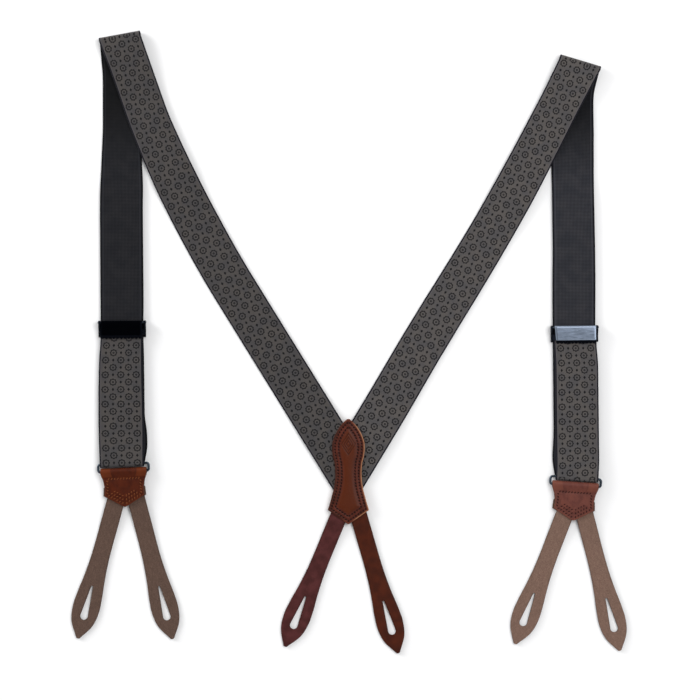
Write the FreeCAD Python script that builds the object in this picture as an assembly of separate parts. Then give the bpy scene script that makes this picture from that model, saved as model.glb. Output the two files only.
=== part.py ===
"""Y-back button suspenders, laid flat with the back of the wearer's side facing up.

Two elastic straps run up from a leather back patch, fold over at the shoulders and come down
underneath to a sliding adjuster and a wire ring. Three pairs of leather button strips end them.
Millimetres. +Z up from the table, +Y towards the shoulders, origin under the middle of the
bounding box. "left" and "right" are as seen from above.
"""
import FreeCAD, Part
import math
import os

V = FreeCAD.Vector

# --- webbing ---
STRAP_W = 35.0          # 1 3/8 in elastic webbing
STRAP_T = 1.5
FOLD_R = 3.0            # outside radius of the soft shoulder fold
TURN_R = 2.75           # outside radius of the turn round the ring's bar
RIDE_Z = 1.2            # height of the front strap where the adjuster travels
PASS_Z = 1.6            # height of the back strap where it crosses over the front strap

# --- leather ---
LEATHER_T = 1.5
LINING_T = 1.0
PANEL_RISE = 0.5
THREAD_W = 0.7
THREAD_T = 0.3

# --- button strips ---
STRIP_W = 14.2
STRIP_LEN = 114.5
STRIP_SEWN = 9.0        # hidden length between the leathers
STRIP_FLEX = 10.0       # soft length next to the seam
PADDLE_W = 22.0
SLOT_R = 3.1
SLOT_LEN = 29.0
SLOT_TO_TIP = 19.0      # centre of the slot's round end to the strip's tip

# --- ring ---
WIRE_R = 1.0
RING_W = 43.6
BAR_GAP = 6.4           # centre to centre of the two bars
RING_CORNER = 2.0

# --- leather tab ---
TAB_TOP = 19.2
TAB_WAIST = 16.3
TAB_FOOT = 16.9
TAB_FOOT_V = -26.1
TAB_TIP_V = -35.7
TAB_FLAT_V = -11.8      # below this the two halves lie flat on the strips

# --- adjuster ---
PLATE_T = 0.9
CHEEK_IN = 18.1
CHEEK_OUT = 19.5
FRAME_H = 13.6
PIN_R = 0.75
PIN_V = 5.3
PIN_Z = 5.0
BARREL_R = 1.4
LEVER_W = 35.0
LEVER_T = 0.9
TEETH = 11

# --- where things lie on the table ---
PATCH_X = -0.5
PATCH_END = -131.5      # the straps' sewn ends stop here inside the patch
SIDES = {
    "left": {
        "ring": (-185.7, -99.4), "up": 90.45, "tilt": 2.5, "adjuster": 111.0,
        "front": (350.4, 90.45, 0.0, 0.0),
        "back": (-69.75, 55.0, -58.25, 175.0, 209.5), "rise": (330.0, 362.0),
        "outer": (-192.7, -132.8, -105.5), "inner": (-173.9, -132.8, -75.5),
    },
    "right": {
        "ring": (186.7, -110.9), "up": 90.6, "tilt": -4.0, "adjuster": 118.5,
        "front": (225.6, 84.0, 103.0, 12.0),
        "back": (-117.5, 52.0, -121.2, 169.5, 190.0), "rise": (315.0, 346.0),
        "outer": (194.2, -142.5, -75.4), "inner": (177.5, -140.8, -110.9),
    },
}
BACK_STRIPS = {"left": (-9.1, -144.1, -112.4), "right": (8.9, -145.4, -73.9)}
TOP = 14.0


def way(angle):
    """Unit vector on the table, angle in degrees from +X."""
    return V(math.cos(math.radians(angle)), math.sin(math.radians(angle)), 0)


def across(angle):
    """Unit vector to the left of a heading."""
    return way(angle + 90)


def spot(u, v, angle, origin):
    """A point v along a heading and u to the right of it."""
    return V(origin[0], origin[1], 0) + way(angle) * v - across(angle) * u


def line(a, b):
    return Part.LineSegment(a, b).toShape()


def arc(a, b, c):
    return Part.Arc(a, b, c).toShape()


def curve(points):
    spline = Part.BSplineCurve()
    spline.interpolate(points)
    return spline.toShape()


def polygon(points):
    return Part.Face(Part.makePolygon(points + [points[0]]))


def raised(face, low, high):
    """A plan face made solid between two heights."""
    base = face.copy()
    base.translate(V(0, 0, low))
    return base.extrude(V(0, 0, high - low))


def side_view(edges_sz, origin, angle, half):
    """Closed (s, z) outline along a heading, extruded to both sides of it."""
    start = V(origin[0], origin[1], 0) - across(angle) * half

    def put(p):
        return start + way(angle) * p[0] + V(0, 0, p[1])

    edges = []
    for e in edges_sz:
        edges.append(line(put(e[0]), put(e[1])) if len(e) == 2 else arc(put(e[0]), put(e[1]), put(e[2])))
    return Part.Face(Part.Wire(edges)).extrude(across(angle) * 2 * half)


def band(heights, thickness):
    """Edges of a thin band whose underside follows (s, z) points."""
    upper = [(s, z + thickness) for s, z in reversed(heights)]
    ring = heights + upper
    return [(ring[i], ring[(i + 1) % len(ring)]) for i in range(len(ring))]


def half_space(origin, angle):
    """Everything on the far side of a line through origin, across a heading."""
    o = V(origin[0], origin[1], 0)
    a, s = way(angle), across(angle) * 400
    return raised(polygon([o - s, o + s, o + s + a * 900, o - s + a * 900]), -TOP, TOP)


def strap_path(origin, a0, straight, a1, bend, rest):
    """Joints of a centreline made of straight, arc, straight: points with their headings."""
    b = V(origin[0], origin[1], 0) + way(a0) * straight
    if bend == 0:
        return b, b, b + way(a0) * rest, None
    radius = bend / math.radians(a1 - a0)
    centre = b + across(a0) * radius
    c = centre - across(a1) * radius
    return b, c, c + way(a1) * rest, (centre, radius)


def strap_plan(origin, a0, straight, a1, bend, rest):
    """Plan outline of a strap, begun a little early so that it can be trimmed to its fold."""
    b, c, d, turn = strap_path(origin, a0, straight, a1, bend, rest)
    start = V(origin[0], origin[1], 0) - way(a0) * 12
    h = STRAP_W / 2
    if turn is None:
        n = across(a0) * h
        return polygon([start + n, start - n, d - n, d + n])
    centre, radius = turn
    mid = (a0 + a1) / 2
    edges = []
    for k in (h, -h):
        first, last = start + across(a0) * k, d + across(a1) * k
        p = [centre + across(a) * (k - radius) for a in (a0, mid, a1)]
        edges.append([line(first, p[0]), arc(p[0], p[1], p[2]), line(p[2], last), first, last])
    left, right = edges
    loop = left[:3] + [line(left[4], right[4])] + right[:3] + [line(right[3], left[3])]
    return Part.Face(Part.Wire(Part.__sortEdges__(loop)))


def fold_of(side):
    """Centre of the shoulder fold and the direction of its crease."""
    s = SIDES[side]
    straight, a1, bend, rest = s["front"]
    _, _, end, _ = strap_path(s["ring"], s["up"], straight, a1, bend, rest)
    crease = way(a1 if bend else s["up"]) + way(s["back"][0])
    crease = crease * (1 if crease.x > 0 else -1)
    return end, math.degrees(math.atan2(crease.y, crease.x))


def half_pipe(origin, axis_angle, height, outer, thickness, length, facing):
    """Half of a tube lying along axis_angle, kept on the side it faces."""
    base = V(origin[0], origin[1], height) - way(axis_angle) * (length / 2)
    tube = Part.makeCylinder(outer, length, base, way(axis_angle))
    tube = tube.cut(Part.makeCylinder(outer - thickness, length, base, way(axis_angle)))
    return tube.common(half_space(origin, facing))


def back_strap(side):
    """From the shoulder fold over the front strap, down to the table and into the patch."""
    s = SIDES[side]
    fold, crease = fold_of(side)
    a0, straight, a1, bend, rest = s["back"]
    plan = raised(strap_plan(fold, a0, straight, a1, bend, rest), -TOP, TOP)
    up, top = s["rise"]
    heights = [(-20, 2 * FOLD_R - STRAP_T), (11, 2 * FOLD_R - STRAP_T), (52, PASS_Z), (120, PASS_Z),
               (158, 0), (up, 0), (top, LINING_T), (470, LINING_T)]
    chord = V(PATCH_X, -108, 0) - fold
    angle = math.degrees(math.atan2(chord.y, chord.x))
    web = plan.common(side_view(band(heights, STRAP_T), fold, angle, 60))
    web = web.common(half_space(fold, crease - 90))
    web = web.common(half_space((PATCH_X, PATCH_END), 90))
    return web.common(half_space((PATCH_X, 0), 180 if side == "left" else 0))


def shoulder_fold(side):
    fold, crease = fold_of(side)
    skew = math.radians(SIDES[side]["back"][0] + 90 - crease)
    return half_pipe(fold, crease, FOLD_R, FOLD_R, STRAP_T, STRAP_W / math.cos(skew), crease + 90)


LEG = 60.0


def front_strap(side):
    """The front strap from above the ring's travel up to the shoulder fold."""
    s = SIDES[side]
    fold, crease = fold_of(side)
    straight, a1, bend, rest = s["front"]
    plan = raised(strap_plan(s["ring"], s["up"], straight, a1, bend, rest + 12), -TOP, TOP)
    land = 222.0 if side == "left" else 228.0
    heights = [(LEG, RIDE_Z), (land, RIDE_Z), (land + 20, 0), (400, 0)]
    web = plan.common(side_view(band(heights, STRAP_T), s["ring"], s["up"], 60))
    return web.common(half_space(fold, crease - 90))


def strap_leg(side):
    """The soft length of the front strap that shortens and lengthens above the ring."""
    s = SIDES[side]
    wedge = half_space(s["ring"], 90 + s["tilt"])
    h = STRAP_W / 2
    ends = [spot(u, v, s["up"], s["ring"]) for u, v in ((-h, -5), (h, -5), (h, LEG), (-h, LEG))]
    heights = [(-5, 0), (8, 0), (30, RIDE_Z), (LEG, RIDE_Z)]
    web = raised(polygon(ends), -TOP, TOP).common(side_view(band(heights, STRAP_T), s["ring"], s["up"], 60))
    return web.common(wedge)


def ring_turn(side):
    s = SIDES[side]
    axis = s["tilt"]
    skew = math.radians(s["up"] - 90 - axis)
    return half_pipe(s["ring"], axis, TURN_R, TURN_R, STRAP_T, STRAP_W / math.cos(skew), axis - 90)


def return_strap(side):
    """From the ring back up to the crimp under the adjuster's lever."""
    s = SIDES[side]
    h = STRAP_W / 2
    end = s["adjuster"] - 1.0
    top = 2 * TURN_R - STRAP_T
    ends = [spot(u, v, s["up"], s["ring"]) for u, v in ((-h, -5), (h, -5), (h, end), (-h, end))]
    heights = [(-5, top), (6, top), (26, 2.95), (end - 24, 2.95), (end - 8, 3.3), (end, 3.3)]
    web = raised(polygon(ends), -TOP, TOP).common(side_view(band(heights, STRAP_T), s["ring"], s["up"], 60))
    return web.common(half_space(s["ring"], 90 + s["tilt"]))


def at_ring(side, u, v, z=0.0):
    s = SIDES[side]
    return spot(u, v, 90 + s["tilt"], s["ring"]) + V(0, 0, z)


def ring(side):
    """Rounded rectangular wire loop, bars across the strap."""
    s = SIDES[side]
    w, r = RING_W / 2 - WIRE_R, RING_CORNER
    k = r * (1 - math.sqrt(0.5))
    stops = [(-w + r, 0), (w - r, 0), (w - k, -k), (w, -r), (w, r - BAR_GAP), (w - k, k - BAR_GAP),
             (w - r, -BAR_GAP), (r - w, -BAR_GAP), (k - w, k - BAR_GAP), (-w, r - BAR_GAP), (-w, -r),
             (k - w, -k)]
    p = [at_ring(side, u, v, TURN_R) for u, v in stops]
    edges = [line(p[0], p[1]), arc(p[1], p[2], p[3]), line(p[3], p[4]), arc(p[4], p[5], p[6]),
             line(p[6], p[7]), arc(p[7], p[8], p[9]), line(p[9], p[10]), arc(p[10], p[11], p[0])]
    section = Part.Wire(Part.makeCircle(WIRE_R, p[0], way(s["tilt"])))
    return Part.Wire(edges).makePipeShell([section], True, False)


def tab_plan(side):
    """Plan outline of the leather tab in the ring's frame."""
    right = [(TAB_TOP, TURN_R - BAR_GAP), (TAB_TOP, -7.5), (TAB_WAIST, -18.4), (TAB_FOOT, TAB_FOOT_V)]
    outline = right + [(0, TAB_TIP_V)] + [(-u, v) for u, v in reversed(right)]
    return polygon([at_ring(side, u, v) for u, v in outline])


def tab_seam_plan(side, inset):
    """The sewn area of the tab, pulled in from its edge."""
    right = [(TAB_WAIST - inset, -9.8 - inset), (TAB_WAIST - inset, -18.4),
             (TAB_FOOT - inset, TAB_FOOT_V + 0.55 * inset)]
    outline = right + [(0, TAB_TIP_V + 1.15 * inset)] + [(-u, v) for u, v in reversed(right)]
    return polygon([at_ring(side, u, v) for u, v in outline])


def tab(side):
    """One leather piece folded over the ring's lower bar, its two halves sewn on the strips."""
    s = SIDES[side]
    b, ro, ri = -BAR_GAP, TURN_R, TURN_R - LEATHER_T
    low, mid, top, end = LEATHER_T, 2 * LEATHER_T, 3 * LEATHER_T, -40.0
    edges = [
        ((end, 0), (b, 0)), ((b, 0), (b + ro, ro), (b, 2 * ro)), ((b, 2 * ro), (TAB_FLAT_V, top)),
        ((TAB_FLAT_V, top), (end, top)), ((end, top), (end, mid)), ((end, mid), (TAB_FLAT_V, mid)),
        ((TAB_FLAT_V, mid), (b, ro + ri)), ((b, ro + ri), (b + ri, ro), (b, ro - ri)),
        ((b, ro - ri), (end, low)), ((end, low), (end, 0)),
    ]
    body = side_view(edges, s["ring"], 90 + s["tilt"], 30)
    return body.common(raised(tab_plan(side), -TOP, TOP))


def tab_stitching(side):
    """Thread rows on the upper half, drawn as one raised line round the sewn area."""
    z = 3 * LEATHER_T
    rows = []
    for inset in (2.3, 4.7):
        inside = raised(tab_seam_plan(side, inset + THREAD_W), z - 1, z + 1)
        rows.append(raised(tab_seam_plan(side, inset), z, z + THREAD_T).cut(inside))
    return Part.makeCompound(rows)


def strip_plan(root):
    """Plan outline of a button strip: band, pointed paddle and teardrop buttonhole."""
    x, y, angle = root

    def p(u, s):
        return spot(u, s, angle, (x, y))

    w, q, n = STRIP_W / 2, PADDLE_W / 2, STRIP_LEN
    side_r = [p(w, n - 58), p(w + 0.9, n - 50), p(q - 0.6, n - 35), p(q, n - 25), p(q - 2.6, n - 12),
              p(1.6, n - 0.6)]
    side_l = [p(-1.6, n - 0.6), p(2.6 - q, n - 12), p(-q, n - 25), p(0.6 - q, n - 35), p(-w - 0.9, n - 50),
              p(-w, n - 58)]
    edges = [line(p(w, -STRIP_SEWN), p(w, n - 58)), curve(side_r), arc(p(1.6, n - 0.6), p(0, n), p(-1.6, n - 0.6)),
             curve(side_l), line(p(-w, n - 58), p(-w, -STRIP_SEWN)), line(p(-w, -STRIP_SEWN), p(w, -STRIP_SEWN))]
    band_face = Part.Face(Part.Wire(edges))
    c, top = n - SLOT_TO_TIP, n - SLOT_TO_TIP + SLOT_R - SLOT_LEN
    e = 0.7
    slot = [line(p(SLOT_R, c), p(e, top + e)), arc(p(e, top + e), p(0, top), p(-e, top + e)),
            line(p(-e, top + e), p(-SLOT_R, c)), arc(p(-SLOT_R, c), p(0, c + SLOT_R), p(SLOT_R, c))]
    return band_face.cut(Part.Face(Part.Wire(slot)))


def strip_parts(root, sewn_z, keep):
    """The sewn, flexing root of a strip and its free length. keep trims the root to its side."""
    x, y, angle = root
    plan = raised(strip_plan(root), -TOP, TOP)
    heights = [(-20, sewn_z), (3, sewn_z), (24, 0), (STRIP_LEN + 5, 0)]
    leather = plan.common(side_view(band(heights, LEATHER_T), (x, y), angle, 40))
    hinge = spot(0, STRIP_FLEX, angle, (x, y))
    free = leather.common(half_space((hinge.x, hinge.y), angle))
    rooted = leather.common(half_space((hinge.x, hinge.y), angle + 180)).common(keep)
    return rooted, free


def patch_edge(inset):
    """Plan outline of the back patch, pulled in by inset."""
    head, shoulder, neck, hip, corner, foot = (
        (0.8, -62.5), (13.2, -82.0), (11.5, -98.0), (13.6, -125.5), (17.0, -137.4), (0, -149.4))
    bulges = ((8.9, -71.5), (13.2, -90.0), (11.0, -112.0), (15.1, -131.2))
    stops = (head, shoulder, neck, hip, corner)
    edges = []
    for k in (1, -1):
        for i, (x, y) in enumerate(bulges):
            a, b = stops[i], stops[i + 1]
            edges.append(arc(*[V(PATCH_X + k * u, v, 0) for u, v in (a, (x, y), b)]))
        edges.append(line(V(PATCH_X + k * corner[0], corner[1], 0), V(PATCH_X, foot[1], 0)))
    edges.append(line(V(PATCH_X - head[0], head[1], 0), V(PATCH_X + head[0], head[1], 0)))
    face = Part.Face(Part.Wire(Part.__sortEdges__(edges)))
    return face.makeOffset2D(-inset, 0, False, False, False) if inset else face


def patch_outer():
    base = LINING_T + STRAP_T
    leather = raised(patch_edge(0), base, base + LEATHER_T)
    return leather.fuse(raised(patch_edge(6.8), base + 0.2, base + LEATHER_T + PANEL_RISE)).removeSplitter()


def patch_stitching():
    z = LINING_T + STRAP_T + LEATHER_T
    rows = []
    for inset in (2.7, 5.3):
        rows.append(raised(patch_edge(inset), z, z + THREAD_T).cut(
            raised(patch_edge(inset + THREAD_W), z - 1, z + 1)))
    return Part.makeCompound(rows)


def adjuster_frame(side):
    """Cover plate under the strap with two cheeks that carry the pin."""
    o, a = adjuster_place(side)
    h = FRAME_H / 2
    plate = [spot(u, v, a, o) for u, v in ((-CHEEK_OUT, -h), (CHEEK_OUT, -h), (CHEEK_OUT, h), (-CHEEK_OUT, h))]
    body = raised(polygon(plate), 0, PLATE_T)
    top = PIN_Z + 1.4
    cheek = [((-h, 0), (h, 0)), ((h, 0), (h, top - 1.4)), ((h, top - 1.4), (h - 0.42, top - 0.42), (h - 1.4, top)),
             ((h - 1.4, top), (2.6, top)), ((2.6, top), (-0.5, 3.6)), ((-0.5, 3.6), (-h, 3.6)), ((-h, 3.6), (-h, 0))]
    for u in (-(CHEEK_IN + CHEEK_OUT) / 2, (CHEEK_IN + CHEEK_OUT) / 2):
        c = spot(u, 0, a, o)
        body = body.fuse(side_view(cheek, (c.x, c.y), a, (CHEEK_OUT - CHEEK_IN) / 2))
    return body.removeSplitter().cut(pin_cylinder(side, PIN_R, CHEEK_OUT + 1))


def adjuster_place(side):
    s = SIDES[side]
    c = spot(0, s["adjuster"], s["up"], s["ring"])
    return (c.x, c.y), s["up"]


def pin_cylinder(side, radius, half, u=0.0):
    o, a = adjuster_place(side)
    base = spot(u - half, PIN_V, a, o) + V(0, 0, PIN_Z)
    return Part.makeCylinder(radius, 2 * half, base, across(a) * -1)


def adjuster_pin(side):
    return pin_cylinder(side, PIN_R, CHEEK_OUT + 0.4)


def adjuster_lever(side):
    """Toothed lever: a barrel on the pin and a flat plate whose edge bites the webbing."""
    o, a = adjuster_place(side)
    w, low, z = LEVER_W / 2, -FRAME_H / 2 - 0.4, PIN_Z + BARREL_R - LEVER_T
    plate = [spot(u, v, a, o) for u, v in ((-w, low), (w, low), (w, PIN_V), (-w, PIN_V))]
    body = raised(polygon(plate), z, z + LEVER_T).fuse(pin_cylinder(side, BARREL_R, w))
    pitch = LEVER_W / TEETH
    for i in range(TEETH):
        u = -w + pitch * i
        tooth = [spot(u + d, v, a, o) for d, v in ((0.35, low), (pitch - 0.35, low), (pitch / 2, low - 1.3))]
        body = body.fuse(raised(polygon(tooth), z - 0.45, z + LEVER_T))
    return body.removeSplitter().cut(pin_cylinder(side, PIN_R + 0.08, w + 1))


def end_crimp(side):
    """Folded metal clip closed on the cut end of the webbing, held between the cheeks."""
    o, a = adjuster_place(side)
    jaw, end, mouth = 0.35, -1.0, -5.2
    z0, z1 = 3.3, 3.3 + STRAP_T
    u_shape = [((mouth, z0 - jaw), (end + jaw, z0 - jaw)), ((end + jaw, z0 - jaw), (end + jaw, z1 + jaw)),
               ((end + jaw, z1 + jaw), (mouth, z1 + jaw)), ((mouth, z1 + jaw), (mouth, z1)),
               ((mouth, z1), (end, z1)), ((end, z1), (end, z0)), ((end, z0), (mouth, z0)),
               ((mouth, z0), (mouth, z0 - jaw))]
    return side_view(u_shape, o, a, CHEEK_IN)


def front_strips(side):
    s = SIDES[side]
    parts = {}
    for name in ("outer", "inner"):
        outward = (name == "outer") == (side == "right")
        gap = spot(0.1 if outward else -0.1, 0, 90 + s["tilt"], s["ring"])
        keep = half_space((gap.x, gap.y), s["tilt"] + (0 if outward else 180))
        rooted, free = strip_parts(s[name], LEATHER_T, keep)
        parts[f"{side}_{name}_strip_root"] = rooted
        parts[f"{side}_{name}_strip"] = free
    return parts


def build():
    stack = LINING_T + STRAP_T
    parts = {
        "back_patch_lining": raised(patch_edge(0.4), 0, LINING_T),
        "back_patch_outer": patch_outer(),
        "back_patch_stitching": patch_stitching(),
    }
    for side, root in BACK_STRIPS.items():
        edge = PATCH_X + (-0.1 if side == "left" else 0.1)
        keep = half_space((edge, 0), 180 if side == "left" else 0)
        rooted, free = strip_parts(root, LINING_T, keep)
        parts[f"back_{side}_strip_root"] = rooted
        parts[f"back_{side}_strip"] = free
    for side in SIDES:
        parts[f"{side}_back_strap"] = back_strap(side)
        parts[f"{side}_shoulder_fold"] = shoulder_fold(side)
        parts[f"{side}_front_strap"] = front_strap(side)
        parts[f"{side}_strap_leg"] = strap_leg(side)
        parts[f"{side}_ring_turn"] = ring_turn(side)
        parts[f"{side}_return_strap"] = return_strap(side)
        parts[f"{side}_ring"] = ring(side)
        parts[f"{side}_tab"] = tab(side)
        parts[f"{side}_tab_stitching"] = tab_stitching(side)
        parts[f"{side}_adjuster_frame"] = adjuster_frame(side)
        parts[f"{side}_adjuster_pin"] = adjuster_pin(side)
        parts[f"{side}_adjuster_lever"] = adjuster_lever(side)
        parts[f"{side}_strap_end_crimp"] = end_crimp(side)
        parts.update(front_strips(side))
    return parts


def centre_offset(parts):
    """Shift that puts the origin under the middle of the bounding box."""
    box = Part.makeCompound(list(parts.values())).BoundBox
    return V(-(box.XMin + box.XMax) / 2, -(box.YMin + box.YMax) / 2, 0)


def main():
    parts = build()
    shift = centre_offset(parts)
    os.makedirs("parts", exist_ok=True)
    for name, shape in parts.items():
        shape.translate(shift)
        shape.exportStep(f"parts/{name}.step")


main()
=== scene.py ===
"""Looks of the Y-back button suspenders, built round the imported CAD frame.

Lengths are in millimetres while a mesh is made and metres in the scene. Every mesh carries "lay",
a point's place on its own piece: u across, v along, n through the thickness, all in millimetres.
"""
import math

import bmesh
import bpy
import numpy as np
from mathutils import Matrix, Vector


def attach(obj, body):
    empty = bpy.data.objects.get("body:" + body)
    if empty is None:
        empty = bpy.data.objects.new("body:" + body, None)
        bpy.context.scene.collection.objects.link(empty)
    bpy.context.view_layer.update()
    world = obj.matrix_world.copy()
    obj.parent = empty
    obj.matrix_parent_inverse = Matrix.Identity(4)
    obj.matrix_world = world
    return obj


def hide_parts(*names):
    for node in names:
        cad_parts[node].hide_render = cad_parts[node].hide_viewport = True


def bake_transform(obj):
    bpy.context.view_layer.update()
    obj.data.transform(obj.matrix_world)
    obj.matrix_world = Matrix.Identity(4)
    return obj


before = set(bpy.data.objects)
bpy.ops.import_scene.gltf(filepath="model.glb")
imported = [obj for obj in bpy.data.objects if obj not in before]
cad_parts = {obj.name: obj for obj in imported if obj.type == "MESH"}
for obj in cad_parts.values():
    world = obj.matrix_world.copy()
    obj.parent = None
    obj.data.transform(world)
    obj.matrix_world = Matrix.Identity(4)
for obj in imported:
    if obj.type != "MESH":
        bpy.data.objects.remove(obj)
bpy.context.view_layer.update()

MM = 0.001
SHIFT = np.array([-0.0213, -0.8060, 0.0])   # the CAD's own centring shift, to 0.01 mm

# --- sizes repeated from the CAD ---
STRAP_W, STRAP_T = 35.0, 1.5
FOLD_R, TURN_R = 3.0, 2.75
OVER_FOLD, OVER_RING = 2 * FOLD_R - STRAP_T, 2 * TURN_R - STRAP_T   # lower side of the strap above a turn
RIDE_Z, PASS_Z = 1.2, 1.6                   # front strap under the adjuster, back strap over the front one
RETURN_Z, CRIMP_Z = 2.95, 3.3               # return strap on the front strap, and its end in the crimp
LEATHER_T, LINING_T, PANEL_RISE = 1.5, 1.0, 0.5
STRIP_W, STRIP_LEN, STRIP_SEWN, STRIP_FLEX, PADDLE_W = 14.2, 114.5, 9.0, 10.0, 22.0
SLOT_R, SLOT_LEN, SLOT_TO_TIP = 3.1, 29.0, 19.0
BAR_GAP, LEG = 6.4, 60.0
PIN_V, PIN_Z, BARREL_R, LEVER_W, TEETH = 5.3, 5.0, 1.4, 35.0, 11
EASE = 0.12                                 # the straps end this short of the shoulder crease
PATCH_X, PATCH_END = -0.5, -131.5
SUEDE_SPREAD = 0.2                          # a front strip's edges stand out this much from the CAD's
MOTIF_W, MOTIF_H, MOTIF_Y = 5.8, 9.0, -83.2     # half sizes and place of the pressed lozenges
MOTIF_LINES = (0.28, 0.62, 0.96)
SEAM_ROWS = (2.4, 5.4)                      # distance of the patch's seams from its edge
SIDES = {
    "left": {
        "ring": (-185.7, -99.4), "up": 90.45, "tilt": 2.5, "adjuster": 111.0, "land": 222.0,
        "front": (350.4, 90.45, 0.0, 0.0), "back": (-69.75, 55.0, -58.25, 175.0, 209.5),
        "rise": (330.0, 362.0), "outer": (-192.7, -132.8, -105.5), "inner": (-173.9, -132.8, -75.5),
        "mirror": 1,
    },
    "right": {
        "ring": (186.7, -110.9), "up": 90.6, "tilt": -4.0, "adjuster": 118.5, "land": 228.0,
        "front": (225.6, 84.0, 103.0, 12.0), "back": (-117.5, 52.0, -121.2, 169.5, 190.0),
        "rise": (315.0, 346.0), "outer": (194.2, -142.5, -75.4), "inner": (177.5, -140.8, -110.9),
        "mirror": -1,
    },
}
# How each length of webbing lies: at a few places along it (mm), its share of the full width and
# how far it has slipped sideways (mm). It pulls in next to the shoulder folds, where it is turned
# over, spreads a little towards the patch and the rings, and runs straight where the adjuster travels.
DRIFT = {
    "left": {
        "back": ((0, .975, 0), (25, .95, .1), (72, .96, 1.1), (125, 1.02, .5), (175, 1.035, 0),
                 (440, 1.035, 0)),
        "front": ((0, 1.04, -1.1), (12, 1.05, 1.6), (27, 1.05, 1.4), (38, .995, .5), (90, 1.0, .2),
                  (110, 1.0, -.3), (130, 1.015, 0), (210, 1.01, 0), (228, 1.01, .4), (275, .88, .6),
                  (320, .88, .9), (350, .975, 0)),
        "return": ((0, 1.04, -1.1), (28, 1.07, -1.4), (60, 1.05, -1.6), (85, 1.02, -1.4), (101, .985, -.6),
                   (112, .985, -.6)),
    },
    "right": {
        "back": ((0, .985, .5), (35, .95, 0), (120, 1.0, -.7), (150, 1.0, -.7), (235, 1.03, .3),
                 (270, 1.035, .3), (325, 1.045, -.6), (440, 1.045, -.8)),
        "front": ((0, 1.0, .8), (14, 1.02, -1.5), (38, .985, -.65), (110, 1.0, -.4), (160, 1.015, .1),
                  (187, 1.0, .4), (237, .99, .1), (262, 1.0, -.6), (285, .97, -1.0), (317, .88, -2.1),
                  (340, .985, -.5)),
        "return": ((0, 1.0, .8), (11, 1.015, 1.5), (95, 1.015, 1.5), (109, 1.0, .4), (120, 1.0, .4)),
    },
}
# Where the printed rows start on a length of webbing (mm), and how much closer together they are.
RING_AT = {"left": {"return": (12.9, 1.02), "back": (5.6, .982)},
           "right": {"return": (10.0, 1.02), "back": (6.0, .985)}}
BACK_STRIPS = {"left": (-9.1, -144.1, -112.4), "right": (8.9, -145.4, -73.9)}


# --- plan geometry

def way(angle):
    """Unit vector of a heading, degrees from +X."""
    a = np.radians(angle)
    return np.stack([np.cos(a), np.sin(a)], -1)


def across(angle):
    """Unit vector to the left of a heading."""
    return way(np.asarray(angle) + 90.0)


def spot(u, v, angle, origin):
    """A point v along a heading and u to the right of it."""
    return np.asarray(origin) + way(angle) * v - across(angle) * u


def smooth(lo, hi, x):
    """0 at lo, 1 at hi, level at both."""
    t = np.clip((x - lo) / (hi - lo), 0, 1)
    return t * t * (3 - 2 * t)


def bell(x, middle, width):
    """1 at the middle, falling off on both sides."""
    return np.exp(-((x - middle) / width) ** 2)


def raised(xy, z):
    """Plan points with their heights."""
    return np.concatenate([xy, z[..., None]], -1)


def soft_profile(stops, s, reach=4.0):
    """A height profile through (s, z) stops with its corners eased."""
    xs, zs = zip(*stops)
    return sum(np.interp(s + d, xs, zs) for d in np.linspace(-reach, reach, 5)) / 5


class Lie:
    """A strap's centreline on the table: straight, arc, straight."""

    def __init__(self, origin, a0, straight, a1, bend, rest):
        self.origin, self.a0, self.a1 = np.array(origin, float), a0, a1
        self.straight, self.bend, self.length = straight, bend, straight + bend + rest
        self.radius = bend / math.radians(a1 - a0) if bend else 1.0

    def at(self, u, v):
        u, v = np.broadcast_arrays(np.asarray(u, float), np.asarray(v, float))
        turned = np.clip(v - self.straight, 0, self.bend)
        angle = self.a0 + (self.a1 - self.a0) * (turned / self.bend if self.bend else 0 * v)
        run = np.minimum(v, self.straight)[..., None] * way(self.a0)
        bow = (across(self.a0) - across(angle)) * self.radius
        tail = np.maximum(v - self.straight - self.bend, 0)[..., None] * way(self.a1)
        return self.origin + run + bow + tail - across(angle) * u[..., None]

    def end(self):
        return self.at(0.0, self.length)


def front_lie(side):
    s = SIDES[side]
    straight, a1, bend, rest = s["front"]
    return Lie(s["ring"], s["up"], straight, a1 if bend else s["up"], bend, rest)


def fold_of(side):
    """Centre of the shoulder fold and the direction of its crease."""
    s = SIDES[side]
    lie = front_lie(side)
    crease = way(lie.a1) + way(s["back"][0])
    crease = crease * (1 if crease[0] > 0 else -1)
    return lie.end(), math.degrees(math.atan2(crease[1], crease[0]))


def skew(angle, line_angle):
    """How far along a heading a line across it has moved for each unit of u."""
    n = across(line_angle)
    return float(across(angle) @ n / (way(angle) @ n))


# --- mesh helpers

def fresh(name, bm, materials, sharp=42.0):
    """Makes the object from a bmesh in millimetres."""
    bmesh.ops.remove_doubles(bm, verts=bm.verts[:], dist=0.0008)
    bmesh.ops.dissolve_degenerate(bm, edges=bm.edges[:], dist=0.0005)
    bmesh.ops.recalc_face_normals(bm, faces=bm.faces[:])
    mesh = bpy.data.meshes.new(name)
    bm.to_mesh(mesh)
    bm.free()
    co = np.zeros(len(mesh.vertices) * 3)
    mesh.vertices.foreach_get("co", co)
    mesh.vertices.foreach_set("co", ((co.reshape(-1, 3) + SHIFT) * MM).ravel())
    for m in materials:
        mesh.materials.append(m)
    mesh.shade_smooth()
    mesh.set_sharp_from_angle(angle=math.radians(sharp))
    return linked(name, mesh)


def linked(name, data):
    """Puts a new object into the scene."""
    obj = bpy.data.objects.new(name, data)
    bpy.context.scene.collection.objects.link(obj)
    return obj


def fixed(obj, body, slot, *nodes):
    """Ties a piece to the body it moves with and hides the CAD nodes it stands for."""
    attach(obj, body)
    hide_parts(*nodes)


def new_bm():
    bm = bmesh.new()
    bm.verts.layers.float_vector.new("lay")
    return bm


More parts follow.
